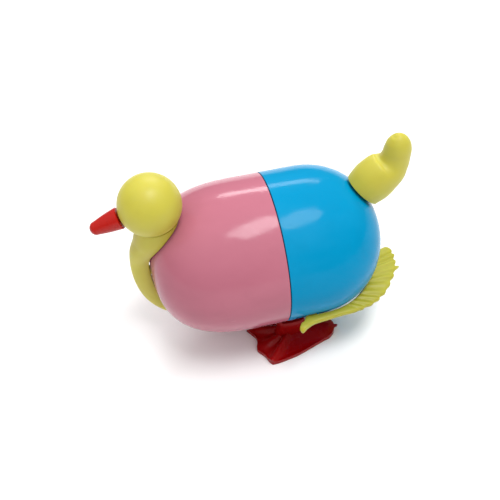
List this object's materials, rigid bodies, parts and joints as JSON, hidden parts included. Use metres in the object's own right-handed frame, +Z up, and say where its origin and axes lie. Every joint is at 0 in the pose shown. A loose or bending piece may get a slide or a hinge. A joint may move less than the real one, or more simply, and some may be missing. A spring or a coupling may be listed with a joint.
{
  "type": "wind-up walking duck toy",
  "caption": "Wind-up walking duck with a two-part capsule body, ball head, curled tail, ribbed wings, webbed feet and an internal spring motor.",
  "frame": {"origin": "middle of the bounding box's floor: on the ground that the feet stand on", "axes": "+X is the duck's front, +Y its left side, +Z up"},
  "size_m": [0.1022, 0.0644, 0.0746],
  "materials": {
    "pink_plastic": "glossy moulded rose-pink plastic",
    "blue_plastic": "glossy moulded sky-blue plastic",
    "yellow_plastic": "soft satin lemon-yellow plastic, slightly translucent",
    "red_plastic": "semi-gloss red plastic",
    "white_plastic": "satin natural white plastic",
    "steel": "bright stamped steel",
    "spring_steel": "blued spring steel",
    "brass": "stamped brass"
  },
  "bodies": {
    "body": {"front_shell": "pink_plastic", "rear_shell": "blue_plastic", "neck": "yellow_plastic", "tail": "yellow_plastic", "left_side_plate": "steel", "right_side_plate": "steel", "frame_pillar_1": "steel", "frame_pillar_2": "steel", "frame_pillar_3": "steel", "frame_pillar_4": "steel", "leg_pivot_rod": "steel", "left_rod_cap": "white_plastic", "right_rod_cap": "white_plastic", "mainspring": "spring_steel"},
    "head": {"head": "yellow_plastic", "beak": "red_plastic"},
    "left_wing": {"left_wing": "yellow_plastic"},
    "right_wing": {"right_wing": "yellow_plastic"},
    "left_leg": {"left_leg": "red_plastic", "left_foot": "red_plastic"},
    "right_leg": {"right_leg": "red_plastic", "right_foot": "red_plastic"},
    "winder": {"winding_arbor": "steel", "winding_knob": "white_plastic", "ratchet_wheel": "brass"},
    "great_wheel": {"great_wheel": "brass", "click_pivot": "steel"},
    "click": {"click": "steel"},
    "intermediate": {"intermediate_pinion": "steel", "intermediate_wheel": "brass"},
    "crank": {"crank_shaft": "steel", "crank_pinion": "steel", "crank_wheel": "white_plastic", "left_crank": "white_plastic", "right_crank": "white_plastic"},
    "governor": {"governor_pinion": "steel", "governor_fly": "white_plastic"}
  },
  "joints": [
    {"name": "head_turn", "type": "hinge", "parent": "body", "child": "head", "pos_m": [0.03195, 0.00335, 0.0648], "axis": [0.1219, 0, 0.9925], "range_deg": [-45, 45]},
    {"name": "left_wing_swing", "type": "hinge", "parent": "body", "child": "left_wing", "pos_m": [-0.01315, 0.02285, 0.023], "axis": [0, 0, -1], "range_deg": [0, 20]},
    {"name": "right_wing_swing", "type": "hinge", "parent": "body", "child": "right_wing", "pos_m": [-0.01315, -0.01615, 0.023], "axis": [0, 0, 1], "range_deg": [0, 20]},
    {"name": "left_leg_swing", "type": "hinge", "parent": "body", "child": "left_leg", "pos_m": [-0.00915, 0.01495, 0.027], "axis": [0, 1, 0], "range_deg": [-7.5, 7.5]},
    {"name": "right_leg_swing", "type": "hinge", "parent": "body", "child": "right_leg", "pos_m": [-0.00915, -0.00825, 0.027], "axis": [0, 1, 0], "range_deg": [-7.5, 7.5]},
    {"name": "winding_turn", "type": "hinge", "parent": "body", "child": "winder", "pos_m": [0.00785, 0.00335, 0.03], "axis": [0, 1, 0], "continuous": true},
    {"name": "great_wheel_turn", "type": "hinge", "parent": "body", "child": "great_wheel", "pos_m": [0.00785, 0.00335, 0.03], "axis": [0, 1, 0], "continuous": true},
    {"name": "click_lift", "type": "hinge", "parent": "great_wheel", "child": "click", "pos_m": [0.01545, 0.00405, 0.029], "axis": [0, 1, 0], "range_deg": [0, 14], "stiffness_Nm_per_rad": 0.00002},
    {"name": "intermediate_turn", "type": "hinge", "parent": "body", "child": "intermediate", "pos_m": [0.00201, 0.00335, 0.04257], "axis": [0, 1, 0], "continuous": true},
    {"name": "crank_turn", "type": "hinge", "parent": "body", "child": "crank", "pos_m": [-0.00915, 0.00335, 0.038], "axis": [0, 1, 0], "continuous": true},
    {"name": "governor_turn", "type": "hinge", "parent": "body", "child": "governor", "pos_m": [-0.01833, 0.00335, 0.04099], "axis": [0, 1, 0], "continuous": true}
  ],
  "couplings": [
    {"joint": "right_leg_swing", "follows": "left_leg_swing", "ratio": -1},
    {"joint": "intermediate_turn", "follows": "great_wheel_turn", "ratio": -3.6},
    {"joint": "crank_turn", "follows": "great_wheel_turn", "ratio": 10.8},
    {"joint": "governor_turn", "follows": "great_wheel_turn", "ratio": -32.4}
  ]
}
